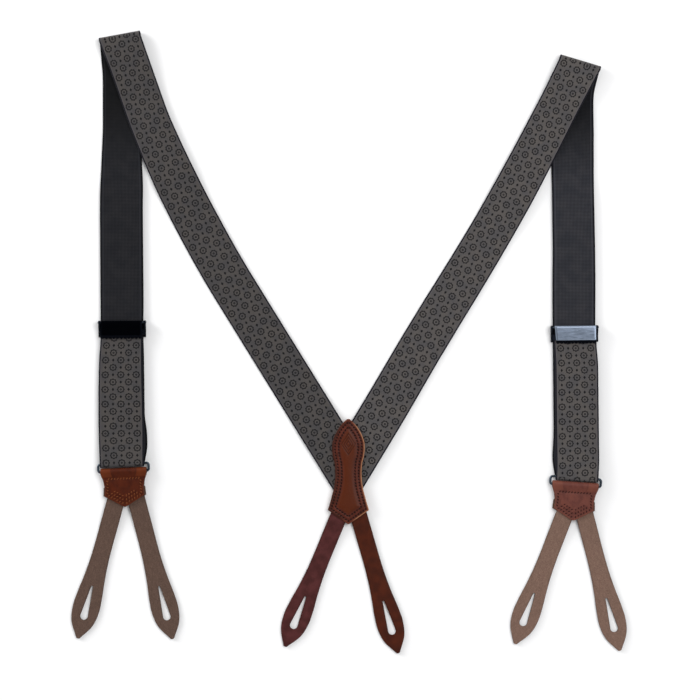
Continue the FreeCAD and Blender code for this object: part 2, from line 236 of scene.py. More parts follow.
def put(bm, points, lay):
    """Adds a (rows, columns, 3) block of points; returns the vertices in the same layout."""
    layer = bm.verts.layers.float_vector["lay"]
    block = []
    for row, marks in zip(points, lay):
        line = []
        for p, m in zip(row, marks):
            v = bm.verts.new(p)
            v[layer] = m
            line.append(v)
        block.append(line)
    return block


def skin(bm, block, looped, slots=None, skip=None):
    """Faces between the rows of a block, capped if looped. slots gives each column's material."""
    rows, cols = len(block), len(block[0])
    for i in range(rows - 1):
        for k in range(cols if looped else cols - 1):
            if skip is not None and skip(i, k):
                continue
            m = (k + 1) % cols
            quad = (block[i][k], block[i][m], block[i + 1][m], block[i + 1][k])
            face = bm.faces.new(quad)
            if slots is not None:
                face.material_index = slots[k]
    if looped:
        for row in (block[0], block[-1]):
            face = bm.faces.new(row)
            if slots is not None:
                face.material_index = slots[-1]


def trim(bm, point, normal):
    """Cuts a closed mesh by a plane, keeps the side that normal points to, and closes it."""
    parts = bm.verts[:] + bm.edges[:] + bm.faces[:]
    bmesh.ops.bisect_plane(bm, geom=parts, plane_co=point, plane_no=normal, clear_inner=True, dist=1e-5)
    rim = [e for e in bm.edges if e.is_boundary]
    if rim:
        bmesh.ops.holes_fill(bm, edges=rim, sides=0)


# --- webbing

COLUMNS = 26
EDGE_STEPS = 5


def section(half, thickness):
    """Closed cross-section of webbing, (u, n) points: face, right edge, reverse, left edge."""
    r = thickness / 2
    flat = np.linspace(-(half - r), half - r, COLUMNS)
    bead = 0.07 * bell(np.abs(flat), half - 1.1, 0.6)
    arc = np.radians(np.linspace(90, -90, EDGE_STEPS + 2)[1:-1])
    u = np.concatenate([flat, half - r + r * np.cos(arc), flat[::-1], r - half - r * np.cos(arc[::-1])])
    n = np.concatenate([thickness + bead, r + r * np.sin(arc), -0 * flat, r + r * np.sin(arc[::-1])])
    slots = [0] * (COLUMNS + 2) + [1] * (COLUMNS + EDGE_STEPS)
    return u, n, slots + [0] * (len(u) - len(slots))


def web(name, materials, place, v_from, v_to, step=2.4, cuts=(), pattern=(0.0, 1.0)):
    """A ribbon whose point (u, v, n) is put by place. v_from and v_to may depend on u."""
    u, n, slots = section(STRAP_W / 2, STRAP_T)
    a, b = v_from(u), v_to(u)
    rows = max(4, int(round(np.mean(b - a) / step)))
    t = np.linspace(0, 1, rows + 1)[:, None]
    v = a[None, :] + (b - a)[None, :] * t
    uu, nn = np.broadcast_to(u, v.shape), np.broadcast_to(n, v.shape)
    bm = new_bm()
    zero, share = pattern
    block = put(bm, place(uu, v, nn), np.stack([uu, (v - zero) * share, nn], -1))
    skin(bm, block, True, slots)
    for point, normal in cuts:
        trim(bm, point, normal)
    return fresh(name, bm, materials)


def drifted(table, u, v):
    """Where a thread u of the webbing really lies across its line at v."""
    at, share, aside = zip(*table)
    spread = [v + d for d in (-5, -2.5, 0, 2.5, 5)]
    return (u * sum(np.interp(x, at, share) for x in spread) / 5
            + sum(np.interp(x, at, aside) for x in spread) / 5)


def laid(lie, under, table, flipped=False):
    """Places a strap flat along its line: under(xy, v) is the height of its lower side."""
    def place(u, v, n):
        xy = lie.at(drifted(table, u, v), v)
        z = under(lie.at(u, v), v) + (STRAP_T - n if flipped else n)
        return raised(xy, z)
    return place


def half_turn(origin, axis, outer, facing, stretch, share, aside, bulge=0.0):
    """Places webbing round a half turn, from its top edge to its lower one, face outside."""
    def place(u, v, n):
        phi = v / (outer - STRAP_T / 2)
        r = outer - STRAP_T + n
        xy = (np.asarray(origin) + way(axis) * ((u * share + aside) * stretch)[..., None]
              + way(facing) * ((r + bulge) * np.sin(phi))[..., None])
        return raised(xy, outer + r * np.cos(phi))
    return place


def square(v):
    """A strap's end straight across at v."""
    return lambda u: 0 * u + v


def slanted(k, table, v, more=0.0):
    """A strap's end at v that follows a crease, k along for each unit across."""
    return lambda u: v + k * drifted(table, u, 0 * u + v) + more


def stretching(obj, before, after, ends, *nodes):
    """Bakes a piece's placement into its mesh and hides the CAD nodes it stands for. The two bodies before
    and after and the two (xy, z) places in ends are not used.
    """
    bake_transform(obj)
    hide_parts(*nodes)


def straps(side):
    """One side's webbing in five pieces, each with its length."""
    s, drift, zero = SIDES[side], DRIFT[side], RING_AT[side]
    mats = [M[f"web_{side}"], M[f"reverse_{side}"]]
    made = {}
    fold, crease = fold_of(side)
    a0, straight, a1, bend, rest = s["back"]
    back = Lie(fold, a0, straight, a1, bend, rest)
    chord = np.array([PATCH_X, -108.0]) - fold
    chord = chord / np.linalg.norm(chord)
    up, top = s["rise"]
    over = [(-20, OVER_FOLD), (11, OVER_FOLD), (52, PASS_Z), (120, PASS_Z), (158, 0), (up, 0),
            (top, LINING_T), (470, LINING_T)]
    k_back = skew(a0, crease)
    obj = web(f"{side}_back_webbing", mats,
              laid(back, lambda xy, v: soft_profile(over, (xy - fold) @ chord), drift["back"]),
              slanted(k_back, drift["back"], 0, EASE), square(back.length), pattern=zero["back"],
              cuts=[((PATCH_X - 0.05 * s["mirror"], 0, 0), (-s["mirror"], 0, 0)),
                    ((0, PATCH_END, 0), (0, 1, 0))])
    made["back"] = (obj, back.length)
    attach(obj, "back")
    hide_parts(f"{side}_back_strap")

    # the shoulder fold, from the back strap's upper level round to the front strap
    arc_len = math.pi * (FOLD_R - STRAP_T / 2)
    along = float((back.at(1.0, k_back) - fold) @ way(crease))
    obj = web(f"{side}_shoulder_webbing", mats,
              half_turn(fold, crease, FOLD_R, crease + 90, along, *drift["back"][0][1:]),
              square(-EASE), square(arc_len + EASE), step=0.45, pattern=(-zero["back"][0], -zero["back"][1]))
    stretching(obj, "back", f"{side}_front", ((fold, OVER_FOLD + STRAP_T / 2), (fold, STRAP_T / 2)),
               f"{side}_shoulder_fold")
    made["fold"] = (obj, arc_len)

    lie = front_lie(side)
    land = s["land"]
    below = [(-5, 0), (8, 0), (30, RIDE_Z), (land, RIDE_Z), (land + 20, 0), (400, 0)]
    k_ring, k_fold = skew(s["up"], s["tilt"]), skew(lie.a1, crease)
    # the front strap's reverse takes the copy with painted shade towards the shoulder fold
    obj = web(f"{side}_front_webbing", [mats[0], M[f"folded_{side}"]],
              laid(lie, lambda xy, v: soft_profile(below, v, 2.5), drift["front"], flipped=True),
              slanted(k_ring, drift["front"], 0), slanted(k_fold, drift["front"], lie.length, -EASE))
    stretching(obj, f"{side}_front", f"{side}_turn", [(lie.at(0.0, v), RIDE_Z) for v in (LEG, 9.0)],
               f"{side}_front_strap", f"{side}_strap_leg")
    made["front"] = (obj, lie.length)

    turn_len = math.pi * (TURN_R - STRAP_T / 2)
    along = float((lie.at(1.0, k_ring) - np.array(s["ring"])) @ way(s["tilt"]))
    obj = web(f"{side}_turn_webbing", mats,
              half_turn(s["ring"], s["tilt"], TURN_R, s["tilt"] - 90, along, *drift["return"][0][1:],
                        bulge=0.25),
              square(0), square(turn_len), step=0.4, pattern=(-zero["return"][0], -zero["return"][1]))
    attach(obj, f"{side}_turn")
    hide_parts(f"{side}_ring_turn")
    made["turn"] = (obj, turn_len)

    end_v = s["adjuster"] - 1.0
    beside = [(-5, OVER_RING), (6, OVER_RING), (26, RETURN_Z), (end_v - 24, RETURN_Z),
              (end_v - 8, CRIMP_Z), (end_v, CRIMP_Z)]
    obj = web(f"{side}_return_webbing", mats,
              laid(lie, lambda xy, v: soft_profile(beside, v, 2.0), drift["return"]),
              slanted(k_ring, drift["return"], 0), square(end_v), pattern=zero["return"])
    stretching(obj, f"{side}_turn", f"{side}_adjuster",
               [(lie.at(0.0, v), OVER_RING) for v in (9.0, end_v - 12)], f"{side}_return_strap")
    made["return"] = (obj, end_v)
    return made


# --- leather strips

def strip_outline(full):
    """Half width and slot half width of a button strip at each row s; full adds to its width."""
    w, q, n = STRIP_W / 2 + full, PADDLE_W / 2 + full * 0.6, STRIP_LEN
    top, c = n - SLOT_TO_TIP + SLOT_R - SLOT_LEN, n - SLOT_TO_TIP
    e = 0.7
    tip = n - 0.6
    quarter = np.linspace(0, math.pi / 2, 10)
    s = np.concatenate([np.arange(-STRIP_SEWN, top - 0.5, 1.3), top + e * (1 - np.cos(quarter)),
                        np.arange(top + e + 0.8, c - 0.4, 0.9), c + SLOT_R * np.sin(quarter),
                        np.arange(c + SLOT_R + 0.7, tip - 0.4, 0.7), tip + 0.6 * np.sin(quarter)])
    s = np.unique(np.round(s, 5))
    knots = np.array([(-60, w), (20, w), (n - 78, w), (n - 64, w + 0.45), (n - 50, w + 1.6),
                      (n - 35, q - 0.5), (n - 25, q), (n - 12, q - 2.5), (tip, 1.6)])
    wide = hermite(knots, s)
    wide = np.where(s > tip, 1.6 * np.sqrt(np.clip(1 - ((s - tip) / 0.6) ** 2, 0, 1)) + 0.02, wide)
    slot = np.interp(s, [top + e, c], [e, SLOT_R])
    slot = np.where(s < top + e, e * np.sqrt(np.clip(1 - ((top + e - s) / e) ** 2, 0, 1)), slot)
    slot = np.where(s > c, np.sqrt(np.clip(SLOT_R ** 2 - (s - c) ** 2, 0, None)), slot)
    slot = np.where((s <= top + 1e-4) | (s >= c + SLOT_R - 1e-4), 0, slot)
    return s, wide, slot


def hermite(knots, x):
    """Smooth curve through knots with finite-difference slopes."""
    xs, ys = knots[:, 0], knots[:, 1]
    d = np.gradient(ys, xs)
    i = np.clip(np.searchsorted(xs, x) - 1, 0, len(xs) - 2)
    h = xs[i + 1] - xs[i]
    t = (x - xs[i]) / h
    t2, t3 = t * t, t * t * t
    return ((2 * t3 - 3 * t2 + 1) * ys[i] + (t3 - 2 * t2 + t) * h * d[i] + (3 * t2 - 2 * t3) * ys[i + 1]
            + (t3 - t2) * h * d[i + 1])


def strip(name, root, sewn_z, materials, parent, body, nodes, keep, full=0.0):
    """A button strip: two mirrored halves that join along the middle, with the slot between them."""
    x, y, angle = root
    s, wide, gap = strip_outline(full)
    base = soft_profile([(-20, sewn_z), (3, sewn_z), (24, 0), (STRIP_LEN + 5, 0)], s, 3.0)
    base = np.maximum(base, 0.0)
    cols = 9
    span, ease = np.linspace(0, 1, cols), np.radians([62, 32, 0])
    bm = new_bm()
    for hand in (1, -1):
        r = np.minimum(0.42, (wide - gap) * 0.3)
        q = np.minimum(0.3, gap * 0.5)
        inner, outer = gap + q, wide - r
        ring = [(inner + (outer - inner) * t, 0 * r + LEATHER_T) for t in span]
        ring += [(outer + r * math.cos(a), LEATHER_T - r + r * math.sin(a)) for a in ease]
        ring += [(outer + r * math.cos(a), r - r * math.sin(a)) for a in ease[::-1]]
        ring += [(inner + (outer - inner) * t, 0 * r) for t in span[::-1]]
        ring += [(gap + 0.3 * q, 0.3 * q), (gap, q), (gap, LEATHER_T - q),
                 (gap + 0.3 * q, LEATHER_T - 0.3 * q)]
        u, n = (np.stack(part, 1) for part in zip(*ring))
        ss = np.broadcast_to(s[:, None], u.shape)
        xy = spot((u * hand)[..., None], ss[..., None], angle, (x, y))
        z = n + base[:, None]
        wall = len(ring) - 4
        block = put(bm, raised(xy, z), np.stack([u * hand, ss, n], -1))
        skin(bm, block, True, ([0] * cols + [2] * 5 + [1] * cols + [2] * 5),
             skip=lambda i, k: k >= wall - 1 and gap[i] == 0 and gap[i + 1] == 0)
    bmesh.ops.remove_doubles(bm, verts=bm.verts[:], dist=0.0008)
    if keep:
        trim(bm, *keep)
    obj = fresh(name, bm, materials)
    stretching(obj, parent, body, [(spot(0.0, v, angle, (x, y)), LEATHER_T / 2) for v in (0.0, STRIP_FLEX)],
               *nodes)


# --- sewing

def polyline(points, closed=False):
    """The points, and each one's distance along the line."""
    p = np.asarray(points, float)
    if closed:
        p = np.vstack([p, p[:1]])
    lengths = np.concatenate([[0], np.cumsum(np.linalg.norm(np.diff(p, axis=0), axis=1))])
    return p, lengths


def at_length(points, lengths, m):
    """Points at distances m along a line."""
    return np.stack([np.interp(m, lengths, points[:, k]) for k in (0, 1)], -1)


def stitches(name, runs, z, material, pitch, long, radius, slant):
    """Separate thread stitches along runs of plan points, each dipping into its two holes."""
    bm = new_bm()
    serial = 0
    for points in runs:
        p, lengths = polyline(points)
        count = max(1, int(round(lengths[-1] / pitch)))
        for i in range(count):
            serial += 1
            m = (i + 0.5) * lengths[-1] / count
            at = at_length(p, lengths, m)
            behind, ahead = at_length(p, lengths, np.clip([m - 0.6, m + 0.6], 0, lengths[-1]))
            d = ahead - behind
            heading = math.degrees(math.atan2(d[1], d[0])) + slant + 5 * math.sin(serial * 2.4)
            t = np.linspace(0, 1, 9)
            size = radius * np.sqrt(np.clip(np.sin(np.pi * (0.04 + 0.92 * t)), 0.05, 1))
            rise = z + 0.16 * np.sin(np.pi * t) - 0.42 * (np.abs(2 * t - 1) ** 4)
            ang = np.linspace(0, 2 * math.pi, 9)[:-1]
            side = across(heading)
            ply = 1 + 0.07 * np.cos(3 * ang[None, :] + 9 * t[:, None])
            off = size[:, None] * ply * np.cos(ang)[None, :]
            xy = (at + way(heading) * ((t - 0.5) * long)[:, None, None] + side * off[..., None])
            zz = rise[:, None] + size[:, None] * ply * np.sin(ang)[None, :] * 0.85
            lay = np.stack([off, np.broadcast_to((t * long + serial * 7.3)[:, None], off.shape), zz], -1)
            skin(bm, put(bm, raised(xy, zz), lay), True)
    return fresh(name, bm, [material], sharp=80.0)


# --- back patch

def three_point_arc(a, b, c, count=24):
    """Points along the arc from a through b to c."""
    a, b, c = (np.array(p, float) for p in (a, b, c))
    m = np.array([b - a, c - b]) * 2
    centre = np.linalg.solve(m, np.array([b @ b - a @ a, c @ c - b @ b]))
    ang = np.unwrap([math.atan2(*(p - centre)[::-1]) for p in (a, b, c)])
    return centre + np.linalg.norm(a - centre) * way(np.degrees(np.linspace(ang[0], ang[2], count)))


PATCH_STOPS = ((0.8, -62.5), (13.2, -82.0), (11.5, -98.0), (13.6, -125.5), (17.0, -137.4))
PATCH_BULGES = ((8.9, -71.5), (13.2, -90.0), (11.0, -112.0), (15.1, -131.2))
PATCH_TIP = -149.4


def patch_side():
    """The patch's right side from head to hip, x from its middle."""
    arcs = [three_point_arc(PATCH_STOPS[i], PATCH_BULGES[i], PATCH_STOPS[i + 1]) for i in range(4)]
    return np.vstack([arcs[0]] + [a[1:] for a in arcs[1:]])


def patch_loop():
    """The patch's whole outline, clockwise from its head."""
    right = patch_side()
    foot = np.linspace(right[-1], (0, PATCH_TIP), 40)[1:]
    half = np.vstack([right, foot])
    left = half[::-1][1:] * np.array([-1, 1])
    return np.vstack([half, left]) + np.array([PATCH_X, 0])


def dense(loop):
    """A closed outline resampled every quarter of a millimetre."""
    p, lengths = polyline(loop, True)
    return at_length(p, lengths, np.arange(0, lengths[-1], 0.25))


def gap_to(loop, xy):
    """Distance of each point to a densely sampled outline."""
    flat = xy.reshape(-1, 2)
    out = np.empty(len(flat))
    for i in range(0, len(flat), 2000):
        part = flat[i:i + 2000]
        out[i:i + 2000] = np.sqrt(((part[:, None, :] - loop[None]) ** 2).sum(-1).min(1))
    return out.reshape(xy.shape[:-1])


def inset_run(loop, inset):
    """The outline pulled in by inset, as ordered points, without the loops that sharp corners make."""
    pts = dense(loop)
    d = np.roll(pts, -2, 0) - np.roll(pts, 2, 0)
    d /= np.linalg.norm(d, axis=1)[:, None]
    normal = np.stack([-d[:, 1], d[:, 0]], -1)
    area = 0.5 * np.sum(pts[:, 0] * np.roll(pts[:, 1], -1) - pts[:, 1] * np.roll(pts[:, 0], -1))
    moved = pts + normal * (inset if area > 0 else -inset)
    kept = moved[gap_to(pts, moved) > inset - 0.04]
    return np.vstack([kept, kept[:1]])


def patch_grid(inset, cols, rows):
    """Plan grid over the patch: columns fan from the middle, rows run from head to foot."""
    side = patch_side()
    t = np.linspace(0, 1, rows)
    t = 0.5 * t + 0.5 * (1 - np.cos(np.pi * t)) / 2
    head, hip = PATCH_STOPS[0][1] - inset, PATCH_STOPS[-1][1]
    y0 = head + (hip - head) * t
    order = np.argsort(side[:, 1])
    w = np.interp(y0, side[order, 1], side[order, 0]) - inset
    w = np.maximum(w, 0.45)
    a = np.linspace(-1, 1, cols)
    a = 0.45 * a + 0.55 * np.sin(np.pi / 2 * a)
    x = PATCH_X + w[:, None] * a[None, :]
    slope = -(hip - PATCH_TIP) * (1 - np.abs(a)) + 1.15 * inset
    y = y0[:, None] + (t ** 2.2)[:, None] * slope[None, :]
    return x, y


def motif(x, y):
    """Depth of a plain pattern of nested lozenges pressed into the head of the patch."""
    d = np.abs(x - PATCH_X) / MOTIF_W + np.abs(y - MOTIF_Y) / MOTIF_H
    grooves = sum(bell(d, c, 0.085) for c in MOTIF_LINES)
    return np.clip(grooves, 0, 1)


def patch_piece(name, inset, base, height_of, materials, cols=70, rows=230):
    """A patch leather: a grid raised by height_of, with a cut edge and a flat underside."""
    x, y = patch_grid(inset, cols, rows)
    xy = np.stack([x, y], -1)
    loop = dense(patch_loop())
    d = np.maximum(gap_to(loop, xy) - inset, 0)
    d[0], d[-1], d[:, 0], d[:, -1] = 0, 0, 0, 0
    z = base + height_of(x, y, d)
    bm = new_bm()
    block = put(bm, np.stack([x, y, z], -1), np.stack([x - PATCH_X, y, d], -1))
    skin(bm, block, False)
    rim = block[0][:-1] + [r[-1] for r in block[:-1]] + block[-1][:0:-1] + [r[0] for r in block[:0:-1]]
    layer = bm.verts.layers.float_vector["lay"]
    low = []
    for v in rim:
        w = bm.verts.new((v.co.x, v.co.y, base))
        w[layer] = (v[layer][0], v[layer][1], -1.2)
        low.append(w)
    for i, v in enumerate(rim):
        k = (i + 1) % len(rim)
        face = bm.faces.new((v, rim[k], low[k], low[i]))
        face.material_index = 1
    bm.faces.new(low).material_index = 2
    return fresh(name, bm, materials, sharp=50.0)


def patch():
    """The patch's two leathers and their sewing. Heights depend on d, the distance to the edge."""
    def outer_height(x, y, d):
        k = np.clip(1 - d / 0.5, 0, 1)
        z = LEATHER_T - 0.42 * (1 - np.sqrt(np.clip(1 - k * k, 0, 1)))
        for row in SEAM_ROWS:
            z = z - 0.2 * bell(d, row, 0.42)
        z = z + 0.12 * bell(d, 4.4, 0.7)
        z = z + PANEL_RISE * smooth(6.3, 8.6, d) + 0.12 * smooth(8.0, 12.0, d)
        return z - 0.34 * motif(x, y) * smooth(5.9, 6.8, d)

    obj = patch_piece("back_patch_leather", 0.0, LINING_T + STRAP_T, outer_height,
                      [M["patch"], M["patch_edge"], M["flesh"]])
    fixed(obj, "back", "cognac_leather", "back_patch_outer")

    def lining_height(x, y, d):
        return LINING_T - 0.25 * np.clip(1 - d / 0.4, 0, 1) ** 2

    obj = patch_piece("back_patch_lining_leather", 0.4, 0.0, lining_height,
                      [M["flesh"], M["patch_edge"], M["patch"]], cols=30, rows=70)
    fixed(obj, "back", "cognac_leather", "back_patch_lining")

    runs = [inset_run(patch_loop(), r) for r in SEAM_ROWS]
    obj = stitches("back_patch_thread", runs, LINING_T + STRAP_T + LEATHER_T - 0.12, M["thread_dark"],
                   slant=44.0, pitch=2.5, long=2.1, radius=0.56)
    fixed(obj, "back", "thread", "back_patch_stitching")


# --- front tabs

TAB_TOP, TAB_WAIST, TAB_FOOT = 19.2, 16.3, 16.9          # half widths
TAB_TOP_V, TAB_FLAT, TAB_WAIST_V, TAB_FOOT_V, TAB_TIP_V = -7.5, -11.8, -18.4, -26.1, -35.7
TAB_FACE = 3 * LEATHER_T                                # upper side of the tab where it lies flat
TAB_EDGE = 0.45                                         # rounding of its cut edges
TAB_COLUMNS = 44
FAR = 9.0                                               # stands for "nowhere near a cut edge"


def tab_half(v, lower):
    """Half width of the tab; its underside's ears stand out past the upper half's."""
    w = np.interp(v, [TAB_FOOT_V, TAB_WAIST_V, TAB_TOP_V], [TAB_FOOT, TAB_WAIST, TAB_TOP])
    bow = -0.45 * bell(v, -13.5, 3.0)
    ears = 0.75 * smooth(-18.2, -19.6, v) if lower else -0.35 * smooth(-18.0, -21.0, v)
    return float(w + bow + ears)


def tab_rows():
    """Rows round the fold, foot to foot: outer (v, z), inner (v, z), whether it is the lower half."""
    ro, ri, b = TURN_R, TURN_R - LEATHER_T, -BAR_GAP
    rows = [(v, TAB_FACE, v, 2 * LEATHER_T, False) for v in np.linspace(TAB_FOOT_V, TAB_FLAT, 26)]
    for v in np.linspace(TAB_FLAT, b, 10)[1:-1]:
        k = smooth(TAB_FLAT, b, v)
        rows.append((v, TAB_FACE + k, v, 2 * LEATHER_T + k, False))
    for phi in np.radians(np.linspace(0, 180, 19)):
        rows.append((b + (ro + 0.45) * math.sin(phi), ro + ro * math.cos(phi), b + (ri + 0.2) * math.sin(phi),
                     ro + ri * math.cos(phi), phi >= math.pi / 2))
    return rows + [(v, 0.0, v, LEATHER_T, True) for v in np.linspace(b, TAB_FOOT_V, 30)[1:]]


def tab_pressed(d, v):
    """How far the sewing pulls the tab's face in, d from its cut edge, less the swell inside it."""
    depth = 0.17 * bell(d, 2.5, 0.45)
    depth = depth + 0.12 * bell(d, 5.1, 0.45) * smooth(-18, -22, v)
    depth = np.where(v > -12.6, 0.17 * bell(v, -12.1, 0.45), depth)
    return depth - 0.12 * smooth(4.5, 8.5, d) * smooth(-12.6, -14.5, v)


def tab_end(ring, order):
    """A cut end, eased in two steps so that it catches the light like the side edges."""
    u, v, z = ring.T
    return [np.stack([u * (1 - 0.004 * part), v - push * TAB_EDGE, z + (z.mean() - z) * part * 0.6], -1)
            for part, push in ((0.35, 0.30), (0.75, 0.42))][::order]


def tab(side):
    """One piece of leather folded over the ring's lower bar, grain side out."""
    s = SIDES[side]
    across_it = np.linspace(-1, 1, TAB_COLUMNS)
    ease = np.radians([60, 30, 0, -30, -60])
    right = [(19.2, -3.6), (19.2, -7.5), (16.0, -18.4), (16.5, TAB_FOOT_V)]
    outline = dense(right + [(0, TAB_TIP_V)] + [(-u, v) for u, v in right[::-1]])
    outline = outline[outline[:, 1] < -4.2]
    points, lays, run = [], [], 0.0
    for v, z, vi, zi, lower in tab_rows():
        run += math.hypot(v - last[0], z - last[1]) if points else 0.0
        last = (v, z)
        w = tab_half(v, lower)
        drop = smooth(-13.0, TAB_FOOT_V, v) ** 1.4 * (TAB_FOOT_V - TAB_TIP_V)
        sag = drop * (1 - np.sqrt(across_it ** 2 + 0.004) / math.sqrt(1.004))    # towards the pointed tip
        ua, va = across_it * (w - TAB_EDGE), v - sag
        d = np.full(TAB_COLUMNS, FAR) if lower else gap_to(outline, np.stack([ua, va], -1))
        sewn = tab_pressed(d, va) if not lower and v < TAB_FLAT + 2 else 0 * d
        nx, nz = np.array([v - vi, z - zi]) / math.hypot(v - vi, z - zi)
        lift = 0.75 * np.sin(ease) * np.where(np.abs(ease) > 0.9, 1, 0.85)
        edge = np.stack([w - TAB_EDGE + TAB_EDGE * np.cos(ease), (v + vi) / 2 + nx * lift,
                         (z + zi) / 2 + nz * lift], -1)
        ring = np.concatenate([np.stack([ua, va - nx * sewn, z - nz * sewn], -1), edge,
                               np.stack([ua, vi - sag, zi + 0 * ua], -1)[::-1], (edge * (-1, 1, 1))[::-1]])
        inner = np.concatenate([d, 0 * ease, np.full(TAB_COLUMNS, FAR), 0 * ease])
        points.append(ring)
        lays.append(np.stack([ring[:, 0], np.where(lower, run, ring[:, 1]), np.where(lower, FAR, inner)], -1))
    points = np.array(tab_end(points[0], -1) + points + tab_end(points[-1], 1))
    lays = np.array([lays[0]] * 2 + lays + [lays[-1]] * 2)
    xy = spot(points[..., 0:1], points[..., 1:2], 90 + s["tilt"], s["ring"])
    bm = new_bm()
    block = put(bm, raised(xy, points[..., 2]), lays)
    slots = [0] * (TAB_COLUMNS - 1) + [1] * (len(ease) + 1) + [2] * (TAB_COLUMNS - 1) + [1] * (len(ease) + 1)
    skin(bm, block, True, slots)
    obj = fresh(f"{side}_tab_leather", bm, [M[f"tab_{side}"], M[f"tab_edge_{side}"], M["flesh"]], sharp=60.0)
    fixed(obj, f"{side}_tab", "cognac_leather", f"{side}_tab")

    rows = [[(-13.7, -12.1), (13.7, -12.1)]]
    for half in ([(13.7, -12.8), (13.6, -18.4), (14.1, -24.9)], [(13.9, -25.2), (0.6, -32.9)],
                 [(11.4, -23.5), (0.5, -29.8)], [(9.0, -21.8), (0.5, -26.7)]):
        rows += [half, [(-u, v) for u, v in half]]
    runs = [np.array([spot(u, v, 90 + s["tilt"], s["ring"]) for u, v in row]) for row in rows]
    obj = stitches(f"{side}_tab_thread", runs, TAB_FACE - 0.1, M[f"thread_{side}"], pitch=2.6, long=2.3,
                   radius=0.42, slant=52.0)
    fixed(obj, f"{side}_tab", "thread", f"{side}_tab_stitching")


# --- materials

class Val:
    """A number coming out of a node, with arithmetic that adds Math nodes."""

    def __init__(self, net, socket):
        self.net, self.socket = net, socket

    def __rsub__(self, other):
        return self.net.math("SUBTRACT", other, self)


def operator(operation):
    """One of Val's arithmetic signs."""
    return lambda value, *other: value.net.math(operation, value, *other)


Val.__add__, Val.__sub__ = operator("ADD"), operator("SUBTRACT")
Val.__mul__, Val.__truediv__ = operator("MULTIPLY"), operator("DIVIDE")
Val.__abs__ = operator("ABSOLUTE")


class Net:
    """A node material being built."""

    def __init__(self, name):
        self.mat = bpy.data.materials.new(name)
        self.mat.use_nodes = True
        self.tree = self.mat.node_tree
        self.tree.nodes.clear()
        self.lay = self.node("Attribute", attribute_type="GEOMETRY", attribute_name="lay").outputs["Vector"]
        parts = self.node("SeparateXYZ", self.lay)
        self.u, self.v, self.n = (Val(self, parts.outputs[i]) for i in range(3))

    def node(self, kind, *values, **settings):
        """A new node with its first inputs set or linked."""
        made = self.tree.nodes.new("ShaderNode" + kind)
        for key, value in settings.items():
            setattr(made, key, value)
        for value, socket in zip(values, made.inputs):
            self.join(value, socket)
        return made

    def join(self, value, socket):
        if isinstance(value, Val):
            value = value.socket
        if isinstance(value, bpy.types.NodeSocket):
            self.tree.links.new(value, socket)
        elif value is not None:
            socket.default_value = value

    def math(self, operation, *values):
        return Val(self, self.node("Math", *values, operation=operation).outputs[0])

    def step(self, lo, hi, x, a=0.0, b=1.0):
        """Smoothly from a at lo to b at hi."""
        made = self.node("MapRange", x, lo, hi, a, b, interpolation_type="SMOOTHSTEP")
        return Val(self, made.outputs[0])

    def fade(self, lo, hi, x):
        return 1.0 - self.step(lo, hi, x)

    def wave(self, x, period):
        return self.math("SINE", x * (2 * math.pi / period))

    def stretch(self, x, y, z, of=None):
        return self.node("VectorMath", of or self.lay, (x, y, z), operation="MULTIPLY").outputs[0]

    def noise(self, scale, detail=3.0, rough=0.5, warp=0.0, at=None):
        made = self.node("TexNoise", at or self.lay)
        for key, value in (("Scale", scale), ("Detail", detail), ("Roughness", rough), ("Distortion", warp)):
            made.inputs[key].default_value = value
        return Val(self, made.outputs["Fac"])

    def cells(self, scale, feature="F1", at=None):
        made = self.node("TexVoronoi", at or self.lay, feature=feature)
        made.inputs["Scale"].default_value = scale
        return Val(self, made.outputs["Distance"])

    def mix(self, share, a, b):
        made = self.node("Mix", share, data_type="RGBA")
        for value, socket in ((a, made.inputs[6]), (b, made.inputs[7])):
            self.join((*value, 1.0) if isinstance(value, tuple) else value, socket)
        return made.outputs[2]

    def lit(self, colour, by):
        made = self.node("VectorMath", colour, operation="SCALE")
        self.join(by, made.inputs["Scale"])
        return made.outputs[0]

    def finish(self, colour, rough, relief, metal=0.0, gloss=0.5, sheen=0.0, nap=0.5, coat=0.0, wax=0.03):
        """Relief is a height in millimetres, nap the sheen's roughness and wax the coat's."""
        bump = self.node("Bump")
        bump.inputs["Distance"].default_value = MM
        self.join(relief, bump.inputs["Height"])
        shader = self.node("BsdfPrincipled")
        looks = {"Base Color": colour, "Roughness": rough, "Metallic": metal, "Specular IOR Level": gloss,
                 "Sheen Weight": sheen, "Sheen Roughness": nap, "Coat Weight": coat, "Coat Roughness": wax,
                 "Normal": bump.outputs[0]}
        for key, value in looks.items():
            self.join(value, shader.inputs[key])
        self.node("OutputMaterial", shader.outputs[0])
        return self.mat


def dim(colour, share):
    return tuple(c * share for c in colour)


def sum_of(values):
    """Adds node values up, from the first on."""
    first, *others = values
    for value in others:
        first = value + first
    return first


def rgb(r, g, b, gain=1.0):
    """A display colour as linear light."""
    out = []
    for c in (r, g, b):
        c /= 255
        out.append(gain * (c / 12.92 if c <= 0.04045 else ((c + 0.055) / 1.055) ** 2.4))
    return tuple(out)


PITCH = 6.15                                            # of the webbing's printed rows


